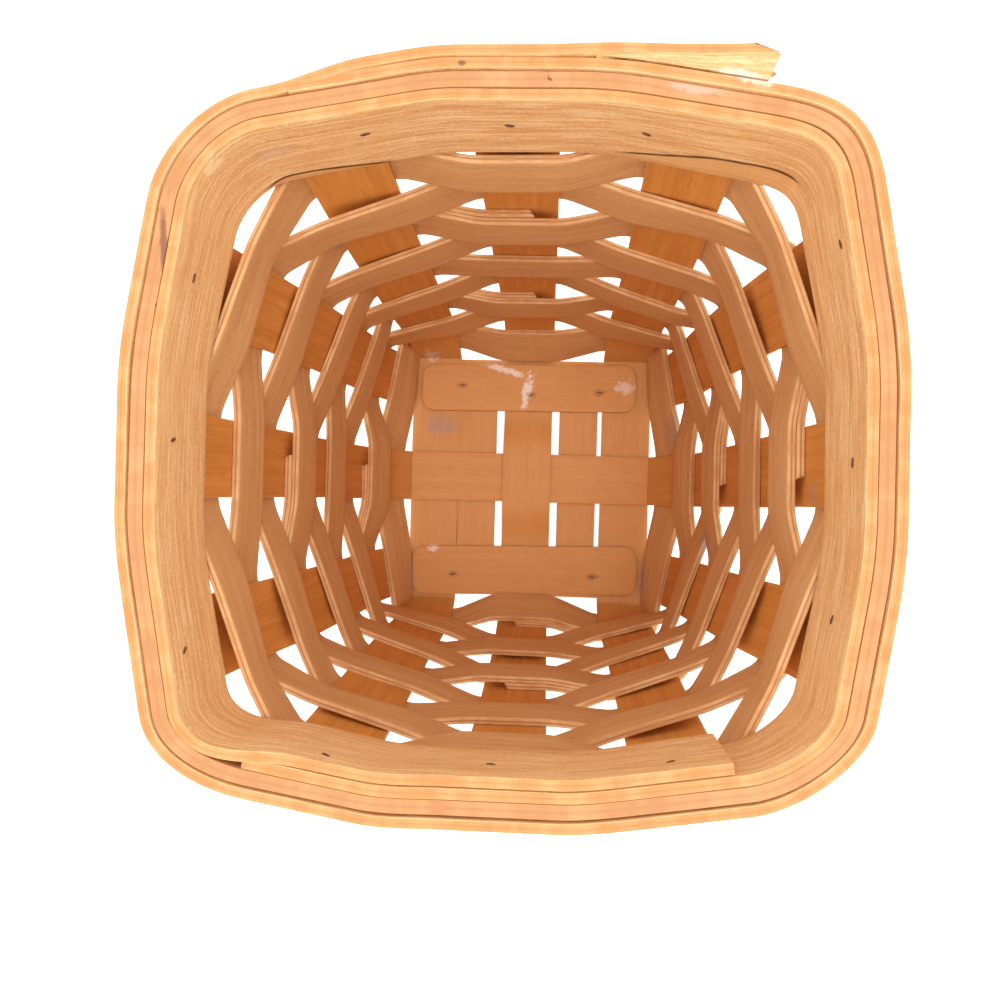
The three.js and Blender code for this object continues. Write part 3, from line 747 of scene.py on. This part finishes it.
# the filler between them, its two ends cut to one slanted joint
filler = {'start': -0.0070, 'gap': 0.0002, 'slant': 0.0018, 'seed': 25.0}
fillerVisits = bandVisits(4, 13, (fillerInside + fillerOutside) / 2)
fillerVisits[0]['from'] = filler['start']
fillerVisits[12]['to'] = filler['start'] - filler['gap']
line = lineRound(rimTop, fillerVisits)
piece = layRound('rimFiller', line, line, rimTop - b['fillerHeight'], rimTop, b['fillerWidth'], filler['seed'])
cutEnd(piece, line, True, -filler['slant'], filler['slant'])
cutEnd(piece, line, False, filler['slant'], -filler['slant'])
finishPiece(piece, 'rim_filler', wood['filler'])


# a long stake: down one wall, across the base and up the wall opposite
staking = {'wallSteps': 70, 'gather': 2.2, 'baseSteps': 40, 'ramp': 0.015, 'seed': 31.0, 'seedStep': 1.7}


def layStake(name, node, first, last, hump, seed):
    steps, baseSteps = staking['wallSteps'], staking['baseSteps']

    def upward(index):
        level = uprights[index][2]
        found = []
        for k in range(steps + 1):
            height = level + (stakeTop - level) * (k / steps) ** staking['gather']
            centre, tangent, normal = uprightAt(index, height)
            found.append((Vector((centre.x, centre.y, height)), Vector((tangent.x, tangent.y, 0))))
        return found

    down, up = upward(first)[::-1], upward(last)
    up = [(centre, -side) for centre, side in up]
    start, end = down[-1][0], up[0][0]
    flat = b['stakeWidth'] / 2 + b['overrun']
    base = []
    for k in range(1, baseSteps):
        centre = start.lerp(end, k / baseSteps)
        fromMiddle = (centre - (start + end) / 2).length
        centre = centre + Vector((0, 0, hump * (1 - smooth(flat, flat + staking['ramp'], fromMiddle))))
        base.append((centre, down[-1][1]))
    stations = down + base + up
    rows = splintEdge['rows']

    def place(i, j):
        centre, side = stations[i]
        return centre + side * ((j / rows - 0.5) * b['stakeWidth'])

    piece = laySplint(name, len(stations) - 1, rows, place, b['stakeThickness'], b['stakeWidth'], seed)
    finishPiece(piece, node, wood['stake'])


stakes = [
    ('stakeLeft', 'stake_lengthwise_left', 9, 5, 0), ('stakeMiddle', 'stake_lengthwise_middle', 10, 4, 2 * layer),
    ('stakeRight', 'stake_lengthwise_right', 11, 3, 0), ('crossStakeFront', 'stake_cross_front', 8, 0, 0),
    ('crossStakeMiddle', 'stake_cross_middle', 7, 1, 0), ('crossStakeBack', 'stake_cross_back', 6, 2, 0),
]
for k, (name, node, first, last, hump) in enumerate(stakes):
    layStake(name, node, first, last, hump, staking['seed'] + k * staking['seedStep'])
print('stakes laid')


# flat strips of the base: place is the middle, turn the direction that they run in
flats = {'coverCorner': 0.005, 'fillerCorner': 0.001, 'fillerSeeds': (55.0, 57.0), 'wander': 0.0002}


def layFlat(name, node, length, width, place, turn, corner, seed, rows=12, columns=90):
    run = Vector((math.cos(turn), math.sin(turn), 0))
    side = Vector((-run.y, run.x, 0))

    def at(i, j):
        ahead = (i / columns - 0.5) * length
        half = width / 2
        past = corner - (length / 2 - abs(ahead))
        if past > 0:
            half -= corner - math.sqrt(corner ** 2 - past ** 2)
        return place + run * ahead + side * (2 * j / rows - 1) * half

    piece = laySplint(name, columns, rows, at, b['stakeThickness'], width, seed, flats['wander'])
    finishPiece(piece, node, wood['stake'])


for name, node, cover, y in (('baseCoverBack', 'base_cover_back', b['backCover'], backCoverPlace),
                             ('baseCoverFront', 'base_cover_front', b['frontCover'], frontCoverPlace)):
    layFlat(name, node, cover['length'], cover['width'], Vector((-b['coverSetBack'], y, highLevel)), cover['turn'],
            flats['coverCorner'], cover['seed'])
fillerPlace = (fillerBackEnd + fillerFrontEnd) / 2
leftFiller = leftPlace + b['stakeWidth'] / 2 + b['baseFillerWidth'] / 2
rightFiller = centrePlace + b['stakeWidth'] / 2 + b['rightInnerSlot'] + b['baseFillerWidth'] / 2
for name, node, x, seed in (('baseFillerLeft', 'base_filler_left', leftFiller, flats['fillerSeeds'][0]),
                            ('baseFillerRight', 'base_filler_right', rightFiller, flats['fillerSeeds'][1])):
    layFlat(name, node, fillerBackEnd - fillerFrontEnd, b['baseFillerWidth'], Vector((x, fillerPlace, middleLevel)),
            math.pi / 2, flats['fillerCorner'], seed)
print('base laid')


# nail steel, dark with rust
def nailSteel():
    tree = Tree('nailSteel')
    place = tree.add('TexCoord', None, None, 'Object')
    rusty = tree.noise(place, (900, 900, 900), 3.0, 0.6)
    colour = tree.blend(rusty.step(0.4, 0.65), rgb(74, 58, 48), rgb(124, 76, 48))
    bump = tree.add('Bump', None, {'Height': rusty, 'Strength': 0.3, 'Distance': 0.0002})
    return tree.surface(colour, rusty * 0.3 + 0.4, bump)


# rim nails: heads outside, clinched tips inside; height over the band's bottom, place along the wall, tip's slant
rimNails = {
    0: (12.3, 5.8, 0.3), 1: (15.5, -0.7, 0.1), 2: (17.4, 2.4, -0.3), 3: (11.6, 10.8, 0.4), 4: (12.0, 1.0, 0.2),
    5: (13.5, -8.0, -0.2), 6: (14.0, 1.5, 0.1), 7: (15.0, -2.6, 1.2), 8: (16.0, 0.1, 0.9), 9: (17.9, 2.7, 0.5),
    10: (13.0, -2.0, 0.2), 11: (16.3, -2.5, -0.3),
}
nail = {'headRadius': 0.0014, 'headThickness': 0.0005, 'tipLength': 0.0011, 'tipWidth': 0.0004, 'proud': 0.0001,
        'springShare': 0.45, 'tipFlat': 0.6, 'discSides': 20, 'ballSegments': 14, 'ballRings': 8, 'sharp': 40}


# one piece of small bodies: each is a unit primitive moved into place by a matrix
def addSmallBodies(name, bodies):
    parts = []
    for kind, matrix in bodies:
        if kind == 'disc':
            bpy.ops.mesh.primitive_cylinder_add(vertices=nail['discSides'], radius=1, depth=1)
        else:
            bpy.ops.mesh.primitive_uv_sphere_add(segments=nail['ballSegments'], ring_count=nail['ballRings'], radius=1)
        part = bpy.context.object
        part.data.transform(matrix)
        parts.append(part)
    for part in parts:
        part.select_set(True)
    bpy.context.view_layer.objects.active = parts[0]
    bpy.ops.object.join()
    piece = bpy.context.object
    piece.name = piece.data.name = name
    bpy.ops.object.shade_smooth_by_angle(angle=math.radians(nail['sharp']))
    piece.select_set(False)
    return piece


# a small body's place on an upright: so high, so far along the wall and out of it
def nailMatrix(index, height, along, offset, turn, size):
    centre, tangent, normal = uprightAt(index, height)
    point = centre + tangent * along + normal * offset
    side, out = Vector((tangent.x, tangent.y, 0)), Vector((normal.x, normal.y, 0))
    axes = Matrix((side, out.cross(side), out)).transposed().to_4x4()
    return (Matrix.Translation((point.x, point.y, height)) @ axes @ Matrix.Rotation(turn, 4, 'Z')
            @ Matrix.Diagonal((*size, 1)))


bodies = []
for index, (over, along, turn) in rimNails.items():
    height = bandBottom + over * mm
    inner = innerBand - b['bandThickness'] / 2 - (bandLap if index > 8 else 0)
    share = over * mm / b['bandHeight']
    outer = outerLow + (outerTop - outerLow) * share + b['bandThickness'] / 2 + (bandLap if index in (3, 4, 5) else 0)
    if index == 3:
        outer += torn['spring'] * nail['springShare']
    tip = (nail['tipLength'], nail['tipWidth'], nail['tipWidth'] * nail['tipFlat'])
    bodies.append(('ball', nailMatrix(index, height, along * mm, inner - nail['proud'], turn, tip)))
    head = (nail['headRadius'], nail['headRadius'], nail['headThickness'])
    bodies.append(('disc', nailMatrix(index, height, along * mm, outer + nail['proud'], 0, head)))
steel = nailSteel()
finishPiece(addSmallBodies('rimNails', bodies), None, steel)

# staples that hold the covers of the base
staple = {'length': 0.0012, 'width': 0.00022, 'turns': (0.1, 0.35, -0.1, 0.2, -0.3)}
coverTop = highLevel + b['stakeThickness'] / 2
bodies = []
for (x, y), turn in zip(staples, staple['turns']):
    moved = Matrix.Translation((x * mm, y * mm, coverTop)) @ Matrix.Rotation(turn, 4, 'Z')
    bodies.append(('ball', moved @ Matrix.Diagonal((staple['length'], staple['width'], staple['width'], 1))))
finishPiece(addSmallBodies('baseStaples', bodies), None, steel)
print('nails driven')


# pale floor that stays white to the camera but keeps a faint shadow
studio = {
    'floorSize': 4, 'floorHeight': -0.0002, 'paper': (0.85, 0.85, 0.85, 1), 'paperGlow': 0.75,
    'white': (1, 1, 1, 1), 'surround': 1.3, 'lamp': 1.0, 'lampAngle': 0.5, 'lampTurn': (0.03, 0.06, 0),
}


def addStage():
    bpy.ops.mesh.primitive_plane_add(size=studio['floorSize'], location=(0, 0, studio['floorHeight']))
    floor = bpy.context.object
    floor.name = 'floor'
    tree = Tree('floorPaper')
    seen = tree.add('LightPath', None, None, 'Is Camera Ray')
    white = tree.add('Emission', None, {'Color': studio['white'], 'Strength': studio['paperGlow']})
    paper = tree.add('BsdfDiffuse', None, {'Color': studio['paper']})
    glow = tree.add('AddShader', None, {0: white, 1: paper})
    shader = tree.add('MixShader', None, {0: seen, 1: paper, 2: glow})
    tree.add('OutputMaterial', None, {'Surface': shader})
    floor.data.materials.append(tree.material)
    floor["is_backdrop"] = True

    world = bpy.data.worlds.new('studio')
    scene.world = world
    world.use_nodes = True
    background = world.node_tree.nodes['Background'].inputs
    background['Color'].default_value = studio['white']
    background['Strength'].default_value = studio['surround']

    lamp = bpy.data.objects.new('soft light', bpy.data.lights.new('soft light', 'SUN'))
    lamp.data.energy = studio['lamp']
    lamp.data.angle = studio['lampAngle']
    lamp.location = (0, 0, 1)
    lamp.rotation_euler = studio['lampTurn']
    bpy.context.collection.objects.link(lamp)


def addCamera(v):
    x, y, z = (math.radians(a) for a in v['turn'])
    turned = Matrix.Rotation(z, 3, 'Z') @ Matrix.Rotation(y, 3, 'Y') @ Matrix.Rotation(x, 3, 'X')
    camera = bpy.data.objects.new('camera', bpy.data.cameras.new('camera'))
    camera.matrix_world = Matrix.Translation(Vector(v['place']) + shift) @ turned.transposed().to_4x4()
    camera.data.sensor_width = v['sensor']
    camera.data.lens = v['sensor'] * v['focal']
    camera.data.clip_start = v['nearest']
    bpy.context.collection.objects.link(camera)
    scene.camera = camera


# the camera looks down into the basket, a little off its middle
view = {'focal': 0.900, 'sensor': 36, 'nearest': 0.01, 'place': (0.01042, -0.00508, 0.36884),
        'turn': (0.628, -3.441, -1.659)}
addStage()
addCamera(view)
print('stage set')

low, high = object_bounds()
